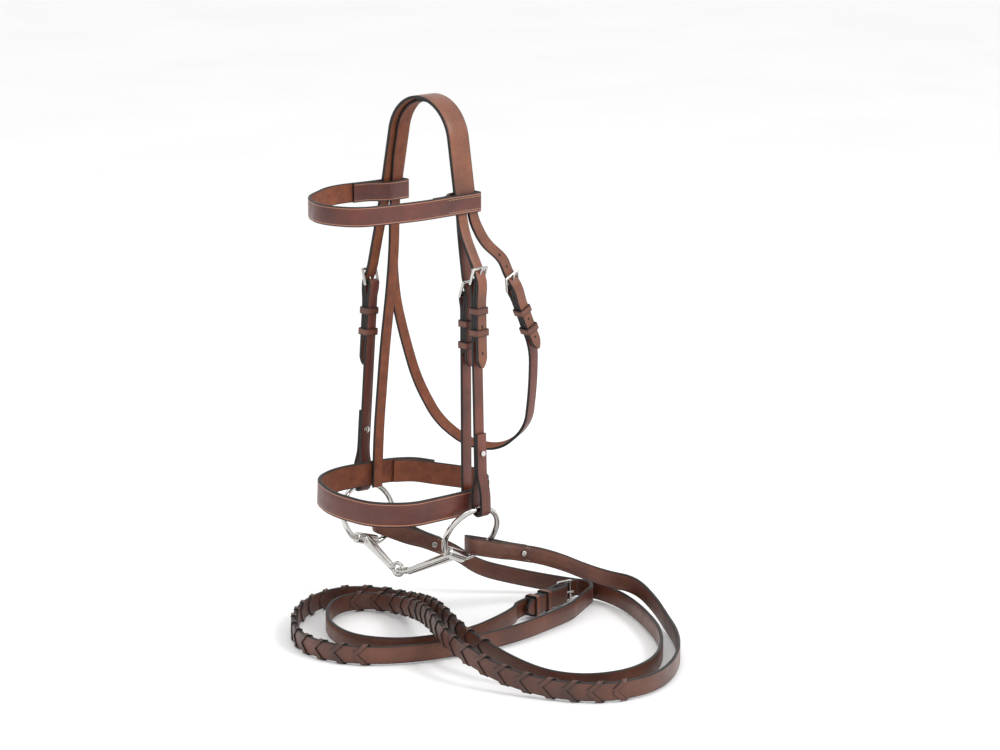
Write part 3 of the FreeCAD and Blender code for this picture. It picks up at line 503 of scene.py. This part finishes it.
def band(name, seat, level, inside, outside, width, fit, body, slot="headstall_leather"):
    """A keeper or runner: a band of leather with rounded corners and edges."""
    wall = KEEPER_WALL
    low, high = inside - fit - wall / 2, outside + fit + wall / 2
    side = width / 2 + fit + wall / 2
    r = 1.3
    loop = []
    for cx, cy, start in ((high - r, side - r, 0), (low + r, side - r, 90),
                          (low + r, -side + r, 180), (high - r, -side + r, 270)):
        for k in range(7):
            angle = math.radians(start + 15 * k)
            loop.append(seat @ Vector((cx + r * math.cos(angle), cy + r * math.sin(angle), level)))
    middle = seat @ Vector(((low + high) / 2, 0, level))
    axis = seat.to_3x3() @ UP
    line = Line(loop, axis, loop[0] - middle, closed=True)
    mesh = Mesh()
    mesh.loft(line, KEEPER_HIGH, wall, closed=True, bevel=0.6, crease=1.3)
    return mesh.build(name + "_leather", KEEPER, body, [name], slot)


def bands(prefix, seat, leaf, billet, width, slot="headstall_leather"):
    inside = -leaf - GAP / 2
    outside = billet_level(leaf, billet) + billet / 2
    made = [band(prefix + "_keeper", seat, SEWN_KEEPER, inside, outside, width, KEEPER_FIT,
                 "headstall", slot)]
    made.append(band(prefix + "_runner", seat, RUNNER, inside, outside, width, RUNNER_FIT,
                     prefix + "_runner_body", slot))
    return made


# ---------------------------------------------------------------- headpiece
CROWN_R = POLL + STRAP_T + GAP + CROWN_T / 2
STRAP_R = POLL + STRAP_T / 2
CHEEK_LINE = -(CROWN_W - CHEEK_W) / 2
THROAT_LINE = (CROWN_W - THROAT_W) / 2


def side_at(radius, drop, sign):
    return radius / math.cos(SPLAY[sign]) + drop * math.tan(SPLAY[sign])


def over_poll(radius, drop):
    level = side_at(radius, 0, 1) + side_at(radius, 0, -1)
    apex = level / (math.tan(SPLAY[1]) + math.tan(SPLAY[-1]))
    return [(side_at(radius, drop, 1), -drop), (side_at(radius, -apex, 1), apex),
            (-side_at(radius, drop, -1), -drop)]


def cheek_hang(side):
    top = RING_TOP[side]
    lean = math.atan2(top.y - CHEEK_LINE, -top.z - DROP)
    pivot = Vector((0, CHEEK_LINE, -DROP))
    return Matrix.Translation(pivot) @ Matrix.Rotation(lean, 4, "X") @ Matrix.Translation(-pivot)


def cheek_seat(side):
    """The seat of a cheek buckle before the cheek hangs, and the length down to the ring top."""
    sign = SIDES[side]
    out, height = CHEEK_BAR[side]
    flat_top = cheek_hang(side).inverted() @ RING_TOP[side]
    down = Vector((sign * flat_top.x - out, 0, flat_top.z - height))
    up = Vector((-sign * down.x, 0, -down.z)).normalized()
    side_out = Vector((sign * up.z, 0, -sign * up.x))
    return frame_at((sign * out, CHEEK_LINE, height), side_out, up), down.length


THROAT_SEAT = frame_at((62, 58, -148), (1, 0, 0), (0, -0.42, 0.907))
THROAT_ACROSS = THROAT_SEAT.to_3x3() @ AXIS_Y

crown = Mesh()
top_line = Line(rounded([(x, 0, z) for x, z in over_poll(CROWN_R, DROP)],
                        {1: CROWN_R}), AXIS_Y, (1, 0, 0))
crown.loft(top_line, CROWN_W, CROWN_T, crease=2.2)
seats, cheek_lengths = {}, {}
for side, sign in SIDES.items():
    flat_seat, cheek_lengths[side] = cheek_seat(side)
    hang = cheek_hang(side)
    seats[side] = hang @ flat_seat
    foot = side_at(CROWN_R, DROP, sign)
    head = side_at(CROWN_R, DROP - 4, sign)
    lead = [hang @ Vector((sign * head, CHEEK_LINE, 4 - DROP)),
            hang @ Vector((sign * (foot + 5), CHEEK_LINE, -DROP - 26))]
    path = rounded(lead + in_seat(seats[side], billet_end(CHEEK_T, CROWN_T, -86)))
    line = Line(path, seats[side].to_3x3() @ AXIS_Y, (sign, 0, 0))
    crown.loft(line, CHEEK_W, CROWN_T, tip=9.0, crease=1.8)
    crown.holes(line, CROWN_T, (1.9, 1.25), (15, 42))
throat_path = [(side_at(CROWN_R, DROP - 4, 1), THROAT_LINE, 4 - DROP),
               (side_at(CROWN_R, DROP, 1) + 1.5, THROAT_LINE + 2, -DROP - 15), (60, 21, -98),
               THROAT_SEAT @ Vector((billet_inside(CROWN_T)[0], 0, 34))]
throat_path += in_seat(THROAT_SEAT, billet_end(CHEEK_T, CROWN_T, -74))
line = Line(rounded(throat_path), THROAT_ACROSS, (1, 0, 0))
crown.loft(line, THROAT_W, CROWN_T, tip=9.0, crease=1.8)
crown.holes(line, CROWN_T, (1.7, 1.1), (14, 36, 84, 100, 116))
crown.build("headpiece_leather", HEADPIECE + [HOLE_SHADE], "headstall", ["crownpiece"],
            "headstall_leather")

# ---------------------------------------------------------------- cheekpieces
for side in SIDES:
    seat, length = seats[side], cheek_lengths[side]
    folded, turns = chape(CHEEK_T)
    near = leaf_side(CHEEK_T)
    loop = RING_WIRE + RING_SLACK + CHEEK_T / 2
    level = -length
    start = len(folded)
    path = folded + [(-near, level + 34), (-loop, level + 18), (-loop, level - loop),
                     (loop, level - loop), (loop, level + 18), (near, level + 34),
                     (near, level + 78)]
    turns = {**turns, start + 2: loop - 0.01, start + 3: loop - 0.01}
    line = Line(rounded(in_seat(seat, path), turns), seat.to_3x3() @ AXIS_Y,
                seat.to_3x3() @ Vector((1, 0, 0)))
    mesh = Mesh()
    mesh.loft(line, CHEEK_W, CHEEK_T, crease=1.8, slots=(0, 0, 2))
    mesh.stitched_rows(line, 4.2, CHEEK_T / 2, STITCHED_CHAPE, (34, 46))
    mesh.build("cheekpiece_%s_leather" % side, CHEEK + [STITCH], "headstall",
               ["cheekpiece_" + side], "headstall_leather")
    bands("cheek_" + side, seat, CHEEK_T, CROWN_T, CHEEK_W)

# ---------------------------------------------------------------- noseband headstrap and cheek
NOSE_BAR = Vector((59.0, -2.5, -149))
HANGER_FOOT = Vector((60.8, -1.5, -374))
nose_seat = frame_at(NOSE_BAR, (1, 0, 0), (NOSE_BAR - HANGER_FOOT).normalized())
STRAP_SPLIT = 20.0
arc = [(x, 0, z) for x, z in over_poll(STRAP_R, STRAP_SPLIT)]
path = in_seat(nose_seat, reversed(billet_end(STRAP_T, STRAP_T, -72)))
path += [(side_at(STRAP_R, DROP + 22, 1) - 0.8, -4.5, -DROP - 22)] + arc
path += [(-side_at(STRAP_R, DROP + 10, -1), 4.5, -DROP - 10), (-57.0, 3, -120),
         (-58.5, 0, -160), (-60.6, -7, -220), (-61.1, -16, -310), (-60.4, -19, -366)]
path = rounded(path, {6: 60.0, 7: STRAP_R, 8: 60.0})
path.reverse()
line = Line(path, AXIS_Y, (-1, 0, 0))
mesh = Mesh()
mesh.loft(line, STRAP_W, STRAP_T, tip=9.0, crease=1.8)
mesh.build("noseband_headstrap_leather", CHEEK, "headstall", ["noseband_headstrap"],
           "headstall_leather")
folded, turns = chape(CHEEK_T)
path = folded + [(-leaf_side(CHEEK_T), -(NOSE_BAR - HANGER_FOOT).length)]
line = Line(rounded(in_seat(nose_seat, path), turns), AXIS_Y, (1, 0, 0))
mesh = Mesh()
mesh.loft(line, STRAP_W, CHEEK_T, crease=1.8, slots=(0, 0, 2))
mesh.stitched_rows(line, 4.2, CHEEK_T / 2, STITCHED_CHAPE)
mesh.build("noseband_cheek_leather", CHEEK + [STITCH], "headstall", ["noseband_cheek_near"],
           "headstall_leather")
bands("noseband_cheek", nose_seat, CHEEK_T, STRAP_T, STRAP_W)

# ---------------------------------------------------------------- browband
BROW_LEVEL = -56.0
LOOP_REAR = CROWN_W / 2 + 1 + BROW_T / 2
LOOP_FRONT = -CROWN_W / 2 - 3


def browband_side(sign, wide):
    outer = side_at(CROWN_R, BROW_W / 2 - BROW_LEVEL, sign) + CROWN_T / 2 + 1 + BROW_T / 2
    inner = side_at(CROWN_R, -BROW_LEVEL - BROW_W / 2, sign) - CROWN_T / 2 - STRAP_T - 2 * GAP
    inner -= 1 + BROW_T / 2
    folded = outer - BROW_T - 2 * GAP
    return [(sign * (folded + wide * 0.5), LOOP_FRONT - 28),
            (sign * (folded + wide * 0.15), LOOP_FRONT - 10),
            (sign * inner, LOOP_FRONT + 2), (sign * inner, LOOP_REAR),
            (sign * outer, LOOP_REAR), (sign * outer, LOOP_FRONT - 2),
            (sign * (outer + wide), LOOP_FRONT - 54)]


path = browband_side(1, 1) + [(48, -137), (8, -151), (-36, -130)]
path += list(reversed(browband_side(-1, 7)))
turns = {i: 3.0 for i in (3, 4, len(path) - 4, len(path) - 5)}
line = Line(rounded([(x, y, BROW_LEVEL) for x, y in path], turns), UP, (-1, 0, 0))
mesh = Mesh()
mesh.loft(line, BROW_W, BROW_T, crease=2.2, bevel=0.9)
total = line.along[-1]
LOOP_STITCHES = (78, 122)
mesh.stitched_rows(line, 6.32, BROW_T / 2, LOOP_STITCHES,
                   (total - LOOP_STITCHES[1], total - LOOP_STITCHES[0]))
mesh.build("browband_leather", FRONT + [STITCH], "headstall", ["browband"], "headstall_leather")

# ---------------------------------------------------------------- noseband
NOSE_ROLL = Matrix.Translation((0, 0, -356)) @ Matrix.Rotation(math.radians(3.4), 4, "Y")
JAW_BAR = Vector((33, 39, 0))
JAW_WAY = Vector((0.75, -0.66, 0)).normalized()
JAW_OUT = Vector((-JAW_WAY.y, JAW_WAY.x, 0))


def jaw(x, z):
    point = JAW_BAR + JAW_OUT * x - JAW_WAY * z
    return (point.x, point.y)


def nose_line(points, radii, outward):
    path = [NOSE_ROLL @ Vector((x, y, 0)) for x, y in points]
    return Line(rounded(path, radii), NOSE_ROLL.to_3x3() @ UP, outward)


folded, turns = chape(NOSE_T, tail=-34)
path = [jaw(x, z) for x, z in folded] + [jaw(-leaf_side(NOSE_T), -40)]
path += [(68, -6), (68, -48), (67, -86), (42, -118), (-10, -125), (-54, -107), (-70, -70),
         (-67.2, -26), (-63, 4), (-52, 25), (-32, 34)]
line = nose_line(path, turns, NOSE_ROLL.to_3x3() @ -JAW_OUT)
mesh = Mesh()
mesh.loft(line, NOSE_W, NOSE_T, crease=2.6, bevel=1.2)
mesh.stitched_rows(line, 10.6, NOSE_T / 2, (44, 70))
mesh.build("noseband_leather", FRONT + [STITCH], "headstall", ["noseband_nosepiece"],
           "headstall_leather")
path = [jaw(x, z) for x, z in reversed(billet_end(NOSE_T, JAW_T, -44))]
path += [jaw(1, 24), (-6, 44), (-31, 29.8), (-48.5, 21.8), (-58.5, 2)]
path.reverse()
line = nose_line(path, {}, (-1, 0, 0))
mesh = Mesh()
mesh.loft(line, JAW_W, JAW_T, tip=10.0, crease=2.2)
mesh.build("jaw_strap_leather", CHEEK, "headstall", ["noseband_jaw_strap"], "headstall_leather")
jaw_seat = NOSE_ROLL @ frame_at(JAW_BAR, JAW_OUT, -JAW_WAY)
band("noseband_jaw_keeper", jaw_seat, SEWN_KEEPER + 4, -NOSE_T - GAP / 2,
     billet_level(NOSE_T, JAW_T) + JAW_T / 2, NOSE_W, KEEPER_FIT, "headstall")

# ---------------------------------------------------------------- throatlash
folded, turns = chape(CHEEK_T)
inner_leaf = -leaf_side(CHEEK_T)
mesh = Mesh()
line = Line(rounded(in_seat(THROAT_SEAT, folded + [(inner_leaf, -44)]), turns), THROAT_ACROSS,
            (1, 0, 0))
mesh.loft(line, THROAT_W, CHEEK_T, crease=1.8)
mesh.stitched_rows(line, 4.0, CHEEK_T / 2, STITCHED_CHAPE)
FAR_SPLIT = side_at(CROWN_R, DROP, -1)
path = in_seat(THROAT_SEAT, [(inner_leaf, -40), (inner_leaf, -74)])
path += [(56, 92, -258), (43, 98, -303), (18, 84, -328), (-9, 62, -324), (-33, 42, -300),
         (-48, 26, -258), (-57, 17, -212), (-63, 11.5, -176), (-65, 9, -140),
         (-FAR_SPLIT - 3.4, THROAT_LINE, -DROP - 30), (-FAR_SPLIT - 0.7, THROAT_LINE, -DROP - 4)]
mesh.loft(Line(rounded(path), THROAT_ACROSS, (1, 0, 0)), THROAT_W, CHEEK_T, crease=1.8)
mesh.build("throatlash_leather", CHEEK + [STITCH], "headstall", ["throatlash"],
           "headstall_leather")
bands("throatlash", THROAT_SEAT, CHEEK_T, CROWN_T, THROAT_W)

# ---------------------------------------------------------------- reins
ROUTE_NEAR = [
    (71.8, 74.9, -429.4), (73.5, 86.3, -432.7), (90, 104, -440), (100, 124, -451),
    (116, 143, -460), (148, 152, -461), (184, 144, -473), (222, 122, -479.5), (264, 93, -479.5),
    (304, 56, -479.5), (336, 14, -479.5), (354, -30, -479.5), (350, -74, -479.5),
    (326, -103, -479.5), (290, -121, -478.5), (252, -136, -471.5), (214, -143, -460),
    (170, -132, -455), (100, -93, -455), (44, -60, -466.5), (-10, -41, -476.5),
    (-46, -44, -479.5), (-56, -76, -479.5), (-32, -114, -479.5), (12, -146, -479.5),
    (60, -156, -479.5), (99, -134, -479.5), (117, -96, -479.5), (121, -52, -479.5),
    (112, -8, -478.5), (101, 26, -477.5), (92.9, 33.4, -476.9), (90.3, 45.1, -476.9),
]
ROUTE_FAR = [
    (-28, 44.7, -436.6), (-21.3, 53.5, -441.1), (-6, 72, -459), (16, 104, -470),
    (46, 136, -478.5), (84, 153, -479.5), (124, 149, -479.5), (164, 134, -479.5),
    (206, 112, -479.5), (250, 84, -479.5), (290, 46, -479.5), (316, 8, -479.5),
    (326, -32, -479.5), (318, -66, -479.5), (298, -88, -479.5), (270, -101, -477.5),
    (236, -112, -468.5), (200, -115, -459), (162, -107, -455), (92, -71, -455), (36, -42, -466.5),
    (-12, -26, -476.5), (-54, -26, -479.5), (-82, -54, -479.5), (-74, -104, -479.5),
    (-36, -156, -479.5), (16, -191, -479.5), (68, -193, -479.5), (104, -170, -479.5),
    (126, -136, -479.5), (138, -98, -479.5), (146, -54, -479.5), (147, -4, -478.5),
    (139, 44, -477.5), (133.7, 73.4, -476.9), (128, 84, -476.9),
]
ROUTES = {"near": ROUTE_NEAR, "far": ROUTE_FAR}
LACED = {"near": (430, 500), "far": (640, 620)}
REIN_SEAT = {"near": frame_at((61.286, 18.026, -413.005), (0.989, -0.15, 0),
                              (0.144, 0.951, -0.274)),
             "far": frame_at((-62.796, 1.316, -413.783), (0.8, -0.6, 0),
                             (0.555, 0.74, -0.379))}
REIN_LOOP = {"near": 9.0, "far": 12.0}
BUCKLE_LEVEL = -476.9
BUCKLE_SEAT = frame_at((78, 108, BUCKLE_LEVEL), (0.975, 0.22, 0), (-0.22, 0.975, 0))


def nurbs_points(name, route):
    """Points read from the smooth line through a route's control points, in mm."""
    curve = bpy.data.curves.new(name, "CURVE")
    curve.dimensions = "3D"
    curve.resolution_u = 16
    spline = curve.splines.new("NURBS")
    spline.points.add(len(route) - 1)
    for point, place in zip(spline.points, route):
        point.co = (place[0] * MM, place[1] * MM, place[2] * MM, 1)
    spline.order_u = 3
    spline.use_endpoint_u = True
    spline.resolution_u = 16
    holder = bpy.data.objects.new(name, curve)
    bpy.context.scene.collection.objects.link(holder)
    bpy.context.view_layer.update()
    read = bpy.data.meshes.new_from_object(holder)
    points = [v.co / MM for v in read.vertices]
    bpy.data.objects.remove(holder)
    bpy.data.meshes.remove(read)
    return points


def thong(mesh, line, start, side):
    """One strand: from a hole on the outer face over an edge and back to the inner face."""
    half_w, half_t = REIN_W / 2, REIN_T / 2
    keys = [(0.0, 0.6, half_t + 0.1, 1), (2.0, 1.6, half_t + 0.7, 1),
            (9.6, half_w - 0.6, half_t + 0.65, 1), (11.4, half_w + 0.75, half_t * 0.4, 0.4),
            (12.6, half_w + 0.75, -half_t * 0.4, -0.4), (14.4, half_w - 0.6, -half_t - 0.6, -1),
            (LACE_PITCH - 2.0, 1.6, -half_t - 0.6, -1), (LACE_PITCH, 0.6, -half_t - 0.1, -1)]
    points, outs = [], []
    for i, key in enumerate(keys[:-1]):
        parts = 4
        for k in range(parts + (i == len(keys) - 2)):
            t = k / parts
            s, a, o, facing = [p + (q - p) * t for p, q in zip(key, keys[i + 1])]
            point, way, outward, wide = line.at(start + s)
            points.append(point + wide * (a * side) + outward * o)
            outs.append((outward * facing + wide * side * math.sqrt(max(0.0, 1 - facing ** 2)))
                        .normalized())
    mesh.loft(Line(points).set_outs(outs), 5.2, 1.3, bevel=0.5)


for side, route in ROUTES.items():
    line = Line(nurbs_points("rein_route_" + side, route), UP)
    mesh = Mesh()
    mesh.loft(line, REIN_W, REIN_T, crease=1.7, bevel=0.9)
    first, laced = LACED[side]
    rein = mesh.build("rein_%s_leather" % side, REIN, "headstall", ["rein_" + side],
                      "rein_leather")
    lacing = Mesh()
    for i in range(int(laced / LACE_PITCH)):
        for edge in (1, -1):
            thong(lacing, line, first + i * LACE_PITCH, edge)
    lacing = lacing.build("rein_%s_thongs" % side, LACING, "headstall", ["rein_lacing_" + side],
                          "lacing")

    seat, wide = REIN_SEAT[side], REIN_LOOP[side]
    near = leaf_side(REIN_T)
    flat = [(-near, 57), (-near, 35), (-wide, 18), (-wide, -19), (wide, -19), (wide, 18),
            (near, 35), (near, 60)]
    loop_line = Line(rounded(in_seat(seat, flat), {3: 7.0, 4: 7.0}), UP, -seat.col[0].xyz)
    mesh = Mesh()
    mesh.loft(loop_line, REIN_W, REIN_T, crease=1.8, bevel=0.9)
    loop_end = loop_line.along[-1]
    mesh.stitched_rows(loop_line, 6.6, REIN_T / 2, (loop_end - 8, loop_end - 1))
    mesh.build("rein_loop_%s_leather" % side, REIN + [STITCH], "headstall",
               ["rein_loop_" + side], "rein_leather")

folded, turns = chape(REIN_T)
chape_line = Line(rounded(in_seat(BUCKLE_SEAT, folded + [(-leaf_side(REIN_T), -64)]), turns), UP,
                  BUCKLE_SEAT.col[0].xyz)
mesh = Mesh()
mesh.loft(chape_line, REIN_W, REIN_T, crease=1.8, bevel=0.9)
mesh.stitched_rows(chape_line, 6.6, REIN_T / 2, STITCHED_CHAPE)
rein_chape = mesh.build("rein_chape_leather", REIN + [STITCH], "headstall", ["rein_chape_near"],
                        "rein_leather")
inside = billet_inside(REIN_T)
BILLET_PLAN = [(128, 84), (112, 114), (102, 134), (90, 143), (78, 143)]
path = [(x, y, BUCKLE_LEVEL) for x, y in BILLET_PLAN] + in_seat(BUCKLE_SEAT, [(inside[0], RISE + 17)] + billet_end(REIN_T, REIN_T, -66))
billet_line = Line(rounded(path), UP, (1, 0.5, 0))
mesh = Mesh()
mesh.loft(billet_line, REIN_W, REIN_T, tip=11.0, crease=1.8, bevel=0.9)
rein_billet = mesh.build("rein_billet_leather", REIN, "headstall", ["rein_billet_far"],
                         "rein_leather")
rein_bands = bands("rein", BUCKLE_SEAT, REIN_T, REIN_T, REIN_W, "rein_leather")


# ---------------------------------------------------------------- steel
def polished(node, body, material, voxel, passes):
    """A copy of a steel part with its edges and joints blended, as forged and polished."""
    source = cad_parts[node]
    obj = bpy.data.objects.new(node + "_polished", source.data.copy())
    obj.matrix_world = source.matrix_world.copy()
    bpy.context.scene.collection.objects.link(obj)
    remesh = obj.modifiers.new("blend", "REMESH")
    remesh.mode = "VOXEL"
    remesh.voxel_size = voxel * MM
    remesh.use_smooth_shade = True
    smooth = obj.modifiers.new("polish", "SMOOTH")
    smooth.factor = 0.5
    smooth.iterations = passes
    made = bpy.data.meshes.new_from_object(
        obj.evaluated_get(bpy.context.evaluated_depsgraph_get()))
    obj.modifiers.clear()
    obj.data = made
    made.materials.clear()
    made.materials.append(material)
    for polygon in made.polygons:
        polygon.use_smooth = True
        polygon.material_index = 0
    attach(obj, body)
    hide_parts(node)
    return obj


for side in SIDES:
    polished("bit_ring_" + side, side + "_ring", BIT_STEEL, 0.6, 3)
    polished("mouthpiece_" + side, side + "_mouthpiece", BIT_STEEL, 0.5, 6)
    polished("cheek_hook_stud_" + side, "headstall", BUCKLE_STEEL, 0.3, 3)
    polished("rein_hook_stud_" + side, "headstall", BUCKLE_STEEL, 0.3, 3)
for prefix in ("cheek_buckle_near", "cheek_buckle_far", "noseband_cheek_buckle",
               "noseband_jaw_buckle", "throatlash_buckle", "rein_buckle"):
    pair = [polished(prefix, "headstall", BUCKLE_STEEL, 0.35, 4),
            polished(prefix + "_tongue", prefix + "_tongue_body", BUCKLE_STEEL,
                     0.25, 3)]


# ---------------------------------------------------------------- floor and light
def stage_material():
    n = Nodes("pale_floor")
    n.link(n.ramp(n.noise(3.0), [(0.3, grey(0.9)), (0.7, grey(0.93))]),
           n.shader.inputs["Base Color"])
    n.shader.inputs["Roughness"].default_value = 0.9
    return n.material


bpy.ops.mesh.primitive_plane_add(size=40, location=(0, 0, FLOOR))
floor = bpy.context.object
floor.name = "floor"
floor.data.materials.append(stage_material())

world = bpy.data.worlds.new("studio")
bpy.context.scene.world = world
world.use_nodes = True
world.node_tree.nodes["Background"].inputs["Color"].default_value = (1, 1, 1, 1)
world.node_tree.nodes["Background"].inputs["Strength"].default_value = 1.02
bpy.context.scene.view_settings.view_transform = "Standard"


def area_light(name, place, target, size, power):
    light = bpy.data.objects.new(name, bpy.data.lights.new(name, "AREA"))
    light.data.shape = "RECTANGLE"
    light.data.size, light.data.size_y = size
    light.data.energy = power
    light.location = place
    light.rotation_euler = (Vector(target) - Vector(place)).to_track_quat("-Z", "Y").to_euler()
    bpy.context.scene.collection.objects.link(light)


area_light("key", (2.2, 0.6, 1.6), (0, 0, -0.3), (0.9, 0.9), 34)
area_light("fill", (0.4, -2.6, 1.2), (0, 0, -0.3), (1.6, 1.0), 4)
area_light("top", (0.0, 0.0, 2.4), (0, 0, -0.3), (1.6, 1.6), 10)
